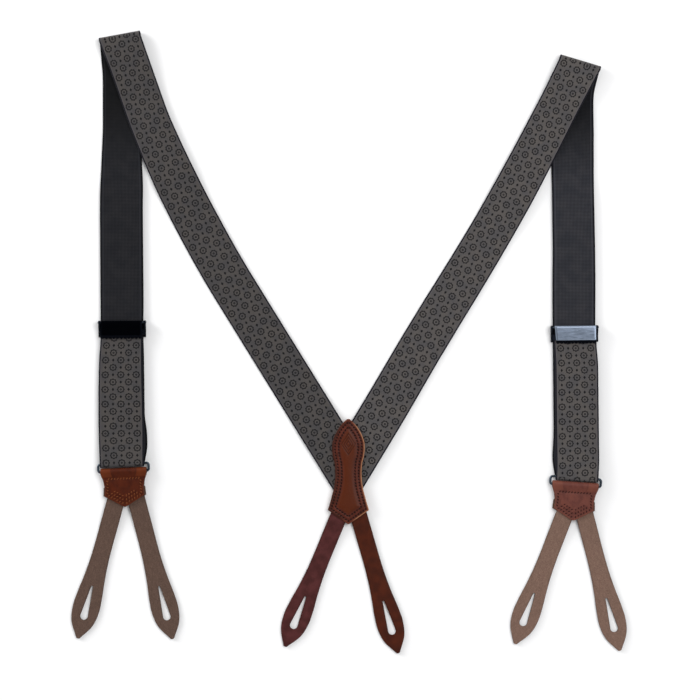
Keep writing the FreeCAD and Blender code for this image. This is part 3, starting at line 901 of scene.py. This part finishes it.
def webbing(name, tone):
    """Jacquard face: rings and small lozenges in turn on a grey-brown twill ground, navy edges."""
    net = Net(name)
    wobble = net.noise(1.1, 2.0) - 0.5
    thread = 0.30
    uq = net.math("SNAP", net.u + wobble * 0.25, thread) * 0.6 + net.u * 0.4
    vq = net.math("SNAP", net.v + wobble * 0.3, thread) * 0.6 + net.v * 0.4
    col, row = net.math("ROUND", uq / PITCH), net.math("ROUND", vq / PITCH)
    du, dv = uq - col * PITCH, vq - row * PITCH
    odd = net.math("FLOORED_MODULO", col + row, 2.0)
    odd = net.step(0.4, 0.6, odd)
    r = net.math("SQRT", du * du + dv * dv)
    theta = net.math("ARCTAN2", dv, du)
    lobes = net.math("COSINE", theta * 8.0)
    ring = net.fade(0.42, 0.74, abs(r - (lobes * 0.18 + 2.35)))
    ring = ring * (lobes * 0.14 + 0.86)
    dot = net.fade(0.35, 0.75, abs(r - 0.45)) * 0.8
    figure = net.math("MAXIMUM", ring, dot)
    lozenge = net.fade(0.85, 1.15, abs(du) / 1.05 + abs(dv) / 1.4)
    inside = net.fade(15.2, 15.5, abs(net.u))
    dark = (figure * (1.0 - odd) + lozenge * odd) * inside
    core = net.fade(1.5, 2.1, r) * (1.0 - odd) * inside
    twill, rib = net.wave(net.u * 0.8 + net.v, 0.72), net.wave(net.v, 0.56)
    mottle = net.noise(0.12, 3.0)
    grain = net.noise(2.6, 2.0)
    ground = net.mix(net.step(0.35, 0.65, mottle), rgb(72, 70, 71), rgb(80, 76, 74))
    # tone scales the colour per side: painted light
    ground = net.lit(ground, (grain * 0.5 + 0.79 + twill * 0.14 + core * 0.2) * tone)
    inked = net.mix(dark * 0.97, ground, rgb(9, 9, 12))
    edge = net.step(16.15, 16.45, abs(net.u))
    hem = net.step(15.5, 15.8, abs(net.u)) * (1.0 - edge)
    dash = net.wave(net.v, 1.35)
    navy = net.lit(net.mix(net.step(-0.2, 0.8, dash), rgb(10, 10, 17), rgb(26, 26, 36)), tone)
    colour = net.mix(edge, net.mix(hem * 0.35, inked, rgb(92, 88, 94, tone)), navy)
    relief = (twill * 0.035 + rib * 0.02 + grain * 0.06) * (1.0 - edge) + dash * edge * 0.10 - dark * 0.05
    return net.finish(colour, grain * 0.15 + 0.72, relief, gloss=0.12, sheen=0.03)


def reverse(name, tone, folded=False):
    """Charcoal reverse: a fine crossed twill with two thin lengthwise ribs and navy edges; folded darkens it
    towards the shoulder fold as painted shade.
    """
    net = Net(name)
    weave = net.wave(net.u + net.v, 2.3) * net.wave(net.u - net.v, 2.3)
    # painted shade: darker towards the shoulder fold, where the back strap lies over the front one
    painted_fold_shade = net.step(240.0, 305.0, net.v, 1.0, 0.3) if folded else 1.0
    fine = net.wave(net.v, 0.6)
    mottle = net.noise(0.1, 3.0)
    grain = net.noise(2.8, 2.0)
    colour = net.mix(net.step(0.3, 0.7, mottle), rgb(36, 37, 42), rgb(43, 43, 47))
    # tone scales the colour per side: painted light
    colour = net.lit(colour, (weave * 0.75 + fine * 0.08 + grain * 0.6 + 0.70) * painted_fold_shade * tone)
    rib = net.fade(0.15, 0.45, abs(abs(net.u) - 15.0))
    edge = net.step(16.0, 16.4, abs(net.u))
    colour = net.mix(rib * 0.4, colour, rgb(66, 66, 74, tone))
    colour = net.mix(edge, colour, rgb(11, 11, 18, tone))
    relief = (weave * 0.07 + fine * 0.015 + grain * 0.05) * (1.0 - edge) + fine * edge * 0.06 + rib * 0.04
    return net.finish(colour, grain * 0.12 + 0.74, relief, gloss=0.10, sheen=0.02)


def leather(name, main, dark, light, sewn=(), panel=None, rough=0.30, waxed=0.0, tan=None, stamped=False,
            fold=None):
    """Smooth vegetable-tanned leather. lay's n is the distance to the cut edge. panel tints the raised
    middle, tan brings painted light on the right cut edge and painted shade on the left one, and fold a
    painted highlight on the upper side next to the tab's fold."""
    net = Net(name)
    cloud = net.noise(0.16, 4.0, 0.55)
    fine = net.noise(1.5, 5.0, 0.62)
    pore = net.cells(1.5)
    crease = net.cells(0.55, "DISTANCE_TO_EDGE", at=net.stretch(1.0, 0.6, 0.0))
    colour = net.mix(net.step(0.3, 0.7, cloud), main, dark)
    if panel:
        colour = net.mix(net.step(6.2, 7.8, net.n), colour, panel)
    colour = net.lit(colour, fine * 0.42 + 0.8)
    worn = net.fade(0.3, 1.5, net.n) * net.step(0.35, 0.6, fine)
    colour = net.mix(worn * 0.55, colour, light)
    # painted shade in the seam grooves
    if sewn:
        painted_groove_shade = sum_of(net.fade(0.15, 0.75, abs(net.n - row)) for row in sewn)
        colour = net.mix(painted_groove_shade * 0.2, colour, dim(dark, 0.35))
    # painted light on the right cut edge and painted shade on the left one
    if tan:
        painted_edge_light = net.fade(0.5, 0.95, net.n) * net.step(2.0, 8.0, net.u)
        colour = net.mix(painted_edge_light * 0.9, colour, tan)
        painted_edge_shade = net.fade(0.6, 2.0, net.n) * net.step(-2.0, -7.0, net.u)
        colour = net.mix(painted_edge_shade * 0.75, colour, dim(dark, 0.3))
    if stamped:
        away = abs(net.u) / MOTIF_W + abs(net.v - MOTIF_Y) / MOTIF_H
        pressed = sum_of(net.fade(0.05, 0.14, abs(away - line)) for line in MOTIF_LINES)
        field = net.fade(0.95, 1.25, away)
        blotch = net.noise(0.75, 4.0, 0.7, 0.4)
        colour = net.lit(colour, (blotch - 0.42) * field * 1.3 + 1.0)
        colour = net.mix(pressed * 0.55, colour, dim(dark, 0.28))
    # painted highlight on the tab's upper side next to its fold
    if fold:
        face_up = net.fade(FAR - 1.0, FAR - 0.2, net.n)
        colour = net.mix(net.step(-11.6, -9.6, net.v) * face_up * 0.5, colour, fold)
    relief = fine * 0.07 - net.step(0.0, 0.28, pore, 0.05, 0.0) - net.step(0.0, 0.07, crease, 0.03, 0.0)
    return net.finish(colour, fine * 0.2 + rough, relief, gloss=0.12, coat=waxed, wax=0.3)


def suede(name, tone, main=(106, 84, 73), second=(80, 62, 54)):
    """Brushed flesh side: short mixed fibres, no gloss."""
    net = Net(name)
    cloud = net.noise(0.2, 3.0)
    fibre = net.noise(1.9, 5.0, 0.75, 0.5)
    nap = net.noise(0.7, 3.0, 0.6, 0.8, at=net.stretch(1.0, 0.45, 1.0))
    colour = net.mix(net.step(0.32, 0.68, fibre), rgb(*second), rgb(*main))
    tuft = net.noise(0.85, 4.0, 0.7)
    # tone scales the colour; for the button strips it is each side's brightness, painted light
    colour = net.lit(colour, (nap * 0.6 + tuft * 0.9 + 0.15 + cloud * 0.22) * tone)
    edge = net.step(5.9, 7.2, abs(net.u)) * net.fade(55.0, 62.0, net.v)
    colour = net.mix(edge * 0.35, colour, rgb(62, 46, 38, tone))
    return net.finish(colour, 0.93, fibre * 0.28 + nap * 0.1, gloss=0.08, sheen=0.06, nap=0.6)


def cut_edge(name, main, dark):
    """Cut side of leather, with its layers showing."""
    net = Net(name)
    layers = net.noise(1.2, 3.0, 0.6, at=net.stretch(0.4, 0.4, 3.0))
    colour = net.mix(net.step(0.35, 0.65, layers), dark, main)
    colour = net.lit(colour, net.noise(2.0) * 0.4 + 0.8)
    return net.finish(colour, 0.7, layers * 0.12, gloss=0.25)


def grain_strip(name, main, dark):
    """Smooth dyed strip leather with a soft shine and fine stretch lines."""
    net = Net(name)
    cloud = net.noise(0.14, 3.0)
    fine = net.noise(1.7, 5.0, 0.6)
    lines = net.noise(1.1, 4.0, 0.6, at=net.stretch(2.2, 0.25, 1.0))
    pore = net.cells(1.8)
    colour = net.mix(net.step(0.3, 0.7, cloud), main, dark)
    colour = net.lit(colour, fine * 0.3 + lines * 0.3 + 0.7)
    rim = net.step(5.7, 7.0, abs(net.u)) * net.fade(54.0, 60.0, net.v)
    colour = net.mix(rim * 0.35, colour, dim(dark, 0.45))
    relief = fine * 0.05 + lines * 0.05 - net.step(0.0, 0.25, pore, 0.04, 0.0)
    return net.finish(colour, lines * 0.2 + 0.34, relief, gloss=0.12, coat=0.03, wax=0.3)


def thread(name, main, dark):
    """Waxed thread, its plies showing."""
    net = Net(name)
    ply = net.wave(net.v + net.u * 1.6, 0.8)
    fuzz = net.noise(3.5, 3.0)
    colour = net.lit(net.mix(net.step(-0.6, 0.8, ply), dark, main), fuzz * 0.5 + 0.75)
    return net.finish(colour, 0.62, ply * 0.06 + fuzz * 0.03, gloss=0.08)


def metal(name, base, rough, streak=(1.0, 9.0, 9.0), wear=0.35, rim=0.0, grain=0.5):
    """Brushed gunmetal. CAD parts carry no lay, so it works in object space, in millimetres."""
    net = Net(name)
    place = net.stretch(1 / MM, 1 / MM, 1 / MM, of=net.node("TexCoord").outputs["Object"])
    brushed = net.noise(0.5, 4.0, 0.65, at=net.stretch(*streak, of=place))
    cloud = net.noise(0.22, 3.0, 0.55, at=place)
    scuff = net.step(0.60, 0.68, net.noise(0.5, 5.0, 0.7, 1.2, at=net.stretch(1, 2.4, 1, of=place)))
    light = tuple(min(1.0, c * 1.8 + 0.02) for c in base)
    colour = net.mix(scuff * wear, net.lit(net.mix(cloud, base, dim(base, 0.7)),
                                           brushed * grain + (1.0 - grain / 2)), light)
    # rim: painted highlight along the plate's bevelled border
    if rim:
        painted_rim_highlight = net.math("MAXIMUM", net.step(16.2, 16.9, abs(net.u)), net.step(4.6, 5.4, net.v))
        painted_rim_highlight = net.math("MAXIMUM", painted_rim_highlight, net.step(-4.5, -5.2, net.v))
        colour = net.mix(painted_rim_highlight * rim, colour, tuple(min(1.0, c * 1.7 + 0.03) for c in base))
    return net.finish(colour, brushed * 0.22 + rough, brushed * 0.025 + cloud * 0.01, metal=1.0)


# Each side's brightness for the webbing face, its reverse and the suede: painted light, the right side lit
# brighter than the left.
SIDE_LIGHT_TONES = {"left": (0.80, 0.56, 0.85), "right": (1.02, 1.15, 1.52)}   # webbing face, reverse, suede
M = {
    # patch: tan is the colour of the painted light on its right cut edge
    "patch": leather("patch_cognac", rgb(86, 40, 29), rgb(66, 29, 20), rgb(122, 70, 50),
                     sewn=SEAM_ROWS, panel=rgb(77, 32, 13), waxed=0.04, tan=rgb(160, 112, 80), stamped=True),
    "patch_edge": cut_edge("patch_cut_edge", rgb(142, 98, 72), rgb(96, 58, 42)),
    "flesh": suede("flesh_side", 0.9, (120, 88, 68), (98, 70, 54)),
    "thread_dark": thread("thread_dark_brown", rgb(40, 16, 10), rgb(14, 5, 4)),
    "thread_left": thread("thread_tan", rgb(150, 86, 48), rgb(52, 20, 10)),
    "thread_right": thread("thread_brown", rgb(58, 20, 14), rgb(22, 8, 7)),
    # fold: the colour of the painted highlight next to each tab's fold
    "tab_left": leather("tab_cognac_left", rgb(74, 28, 10), rgb(58, 20, 7), rgb(112, 50, 24), rough=0.34,
                        fold=rgb(108, 50, 22)),
    "tab_right": leather("tab_cognac_right", rgb(102, 57, 48), rgb(84, 46, 40), rgb(132, 78, 60), rough=0.34,
                         fold=rgb(118, 68, 54)),
    "tab_edge_left": cut_edge("tab_cut_edge_left", rgb(70, 38, 26), rgb(44, 24, 18)),
    "tab_edge_right": cut_edge("tab_cut_edge_right", rgb(84, 46, 34), rgb(52, 30, 24)),
    "strip_edge_dark": cut_edge("strip_cut_edge_dark", rgb(50, 24, 20), rgb(32, 16, 14)),
    "strip_edge": cut_edge("strip_cut_edge", rgb(62, 46, 40), rgb(42, 32, 28)),
    "grain_left": grain_strip("strip_grain_left", rgb(80, 40, 40), rgb(62, 29, 28)),
    "grain_right": grain_strip("strip_grain_right", rgb(73, 29, 13), rgb(57, 22, 11)),
    # gunmetal_bright carries a painted rim highlight; gunmetal_dark is the same gunmetal painted near black
    # as shade for the left lever, and gunmetal_lip is painted near black as shade for the levers' toothed
    # lips
    "metal_bright": metal("gunmetal_bright", (0.17, 0.205, 0.265), 0.30, streak=(0.3, 1.5, 1.5), wear=0.5,
                          rim=0.8, grain=1.7),
    "metal_painted_shade": metal("gunmetal_dark", (0.0016, 0.002, 0.0035), 0.30, wear=0.03),
    "metal_lip_painted_shade": metal("gunmetal_lip", (0.006, 0.007, 0.011), 0.32, wear=0.05),
    "metal_wire": metal("gunmetal_wire", (0.055, 0.07, 0.09), 0.24),
    "metal_frame": metal("gunmetal_frame", (0.010, 0.012, 0.018), 0.30),
}
for side_name, (face_light, reverse_light, suede_light) in SIDE_LIGHT_TONES.items():
    M[f"web_{side_name}"] = webbing(f"webbing_{side_name}", face_light)
    M[f"reverse_{side_name}"] = reverse(f"webbing_reverse_{side_name}", reverse_light)
    # this reverse copy has painted shade towards the shoulder fold
    M[f"folded_{side_name}"] = reverse(f"webbing_reverse_front_{side_name}", reverse_light, folded=True)
    M[f"suede_{side_name}"] = suede(f"strip_suede_{side_name}", suede_light)


# --- the pieces

def hardware():
    """CAD metal parts keep their shape and get brushed metal; frames and crimps get softened edges."""
    looks = {"adjuster_frame": "metal_frame", "adjuster_pin": "metal_wire", "strap_end_crimp": "metal_frame",
             "ring": "metal_wire"}
    for side in SIDES:
        for part, look in looks.items():
            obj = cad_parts[f"{side}_{part}"]
            obj.data.materials.clear()
            obj.data.materials.append(M[look])
            weld = obj.modifiers.new("weld", "WELD")
            weld.merge_threshold = 0.00002
            if part in ("adjuster_frame", "strap_end_crimp"):
                bevel = obj.modifiers.new("bevel", "BEVEL")
                bevel.width, bevel.segments = 0.00016, 2
                bevel.limit_method, bevel.angle_limit = "ANGLE", math.radians(35)
                bevel.harden_normals = True
        lever(side)


def lever(side):
    """Adjuster lever: a bevelled plate with a toothed lip, rolled round the pin."""
    s, w = SIDES[side], LEVER_W / 2
    steps = np.array([0, 0.12, 0.5, 1.0, 1.35])
    u = np.concatenate([steps - w, np.linspace(1.8 - w, w - 1.8, 97), (w - steps)[::-1]])
    bite = 1 - np.abs(2 * (((u + w) * TEETH / LEVER_W) % 1.0) - 1)
    drop = 0.42 * smooth(w - 1.35, w, np.abs(u))
    roll = [(PIN_V + BARREL_R * math.sin(a), PIN_Z + BARREL_R * math.cos(a))
            for a in np.radians(np.linspace(12, 205, 14))]
    profile = [(-7.0, 5.5), (-7.25, 5.62), (-7.2, 5.86), (-6.7, 6.02), (-6.0, 6.16), (-5.75, 6.32)]
    profile += [(-5.3, 6.4)]
    profile += [(v, 6.4) for v in np.linspace(-4.2, 3.2, 6)] + [(3.8, 6.36), (4.6, 6.33)] + roll
    profile += [(3.9, 5.5), (0.0, 5.5), (-5.0, 5.5)]
    points = []
    for k, (v, z) in enumerate(profile):
        lip = 1.0 if k < 3 else 0.55 if k == 3 else 0.0
        upper = 1.0 if 2 <= k < len(profile) - 3 and z > 5.8 else 0.0
        points.append(np.stack([u, v - lip * 1.15 * bite ** 0.8, z - lip * 0.3 * bite - upper * drop], -1))
    lays = np.array(points).transpose(1, 0, 2)
    x, y, z = np.moveaxis(lays, -1, 0)
    if side == "right":
        x = w - (w - x) * (1 - np.interp(y, (-7.5, 6.7), (2.3, 1.2)) / LEVER_W)
    else:
        x = -w + (w + x) * (1 - 1.0 / LEVER_W)
    at = spot(0.0, s["adjuster"], s["up"], s["ring"])
    xy = spot(x[..., None], y[..., None], s["up"], at)
    bm = new_bm()
    block = put(bm, raised(xy, z), lays)
    skin(bm, block, True, [1] * 6 + [0] * (len(profile) - 6))
    # the left plate is the same metal painted near black as shade, the right one lit metal with a painted rim
    # highlight; the lip is painted near black as shade
    face = "metal_painted_shade" if side == "left" else "metal_bright"
    obj = fresh(f"{side}_adjuster_lever_plate", bm, [M[face], M["metal_lip_painted_shade"]], sharp=28.0)
    fixed(obj, f"{side}_lever", "gunmetal", f"{side}_adjuster_lever")


def strips():
    """The two strips of the patch and the two pairs of the tabs, each cut along its pair's middle line."""
    for side, root in BACK_STRIPS.items():
        m = SIDES[side]["mirror"]
        strip(f"back_{side}_button_strip", root, LINING_T,
              [M[f"grain_{side}"], M["flesh"], M["strip_edge_dark"]], "back", f"back_{side}_strip",
              [f"back_{side}_strip_root", f"back_{side}_strip"],
              ((PATCH_X - 0.1 * m, 0, 0), (-m, 0, 0)))
    for side, s in SIDES.items():
        for which in ("outer", "inner"):
            outward = (which == "outer") == (side == "right")
            gap = spot(0.1 if outward else -0.1, 0.0, 90 + s["tilt"], s["ring"])
            normal = way(s["tilt"] + (0 if outward else 180))
            strip(f"{side}_{which}_button_strip", s[which], LEATHER_T,
                  [M[f"suede_{side}"], M[f"grain_{side}"], M["strip_edge"]], f"{side}_tab",
                  f"{side}_{which}_strip", [f"{side}_{which}_strip_root", f"{side}_{which}_strip"],
                  ((gap[0], gap[1], 0), (normal[0], normal[1], 0)), full=SUEDE_SPREAD)


FLOOR_Z = -0.0001                                       # just under the lowest pieces
LIGHTS = {"key": ((-1.8, 0.9, 0.46), 1.1, 48.0), "fill": ((0.9, 0.5, 1.75), 1.5, 24.0)}  # m, m, W
HORIZON = (0.62, 0.90, 0.85, 0.05)                      # two heights in the sky, and its light at each


def studio():
    """Pale floor, soft lights and the camera straight above."""
    bm = bmesh.new()
    bm.faces.new([bm.verts.new((x, y, FLOOR_Z)) for x, y in ((-3, -3), (3, -3), (3, 3), (-3, 3))])
    mesh = bpy.data.meshes.new("floor")
    bm.to_mesh(mesh)
    bm.free()
    floor = linked("floor", mesh)
    net = Net("floor_paper")
    mesh.materials.append(net.finish((0.93, 0.93, 0.935, 1.0), 0.9, None, gloss=0.1))

    world = bpy.data.worlds.new("studio")
    world.use_nodes = True
    nodes, links = world.node_tree.nodes, world.node_tree.links
    place, parts = nodes.new("ShaderNodeTexCoord"), nodes.new("ShaderNodeSeparateXYZ")
    fall = nodes.new("ShaderNodeMapRange")
    fall.interpolation_type = "SMOOTHSTEP"
    for value, socket in zip(HORIZON, fall.inputs[1:5]):
        socket.default_value = value
    nodes["Background"].inputs[0].default_value = (1.0, 1.0, 1.0, 1.0)
    links.new(place.outputs["Generated"], parts.inputs[0])
    links.new(parts.outputs[2], fall.inputs[0])
    links.new(fall.outputs[0], nodes["Background"].inputs[1])
    bpy.context.scene.world = world

    for name, (place, size, power) in LIGHTS.items():
        lamp = bpy.data.lights.new(name, "AREA")
        lamp.shape, lamp.size, lamp.energy = "DISK", size, power
        box = linked(name, lamp)
        box.location = place
        box.rotation_mode = "QUATERNION"
        box.rotation_quaternion = (-Vector(place)).to_track_quat("-Z", "Y")

    lens = bpy.data.cameras.new("camera")
    lens.lens, lens.sensor_width = 156.1, 36.0
    lens.clip_start, lens.clip_end = 0.05, 20.0
    camera = linked("camera", lens)
    camera.location = (0.0008, -0.0066, 2.5)
    bpy.context.scene.camera = camera
    bpy.context.scene.view_settings.view_transform = "Standard"


patch()
strips()
for side_name in SIDES:
    tab(side_name)
    pieces = straps(side_name)
    goes_with = {"back": ["fold"], "return": ["turn"], "front": []}
    for key, others in goes_with.items():
        obj, length = pieces[key]
        length * MM
hardware()
studio()
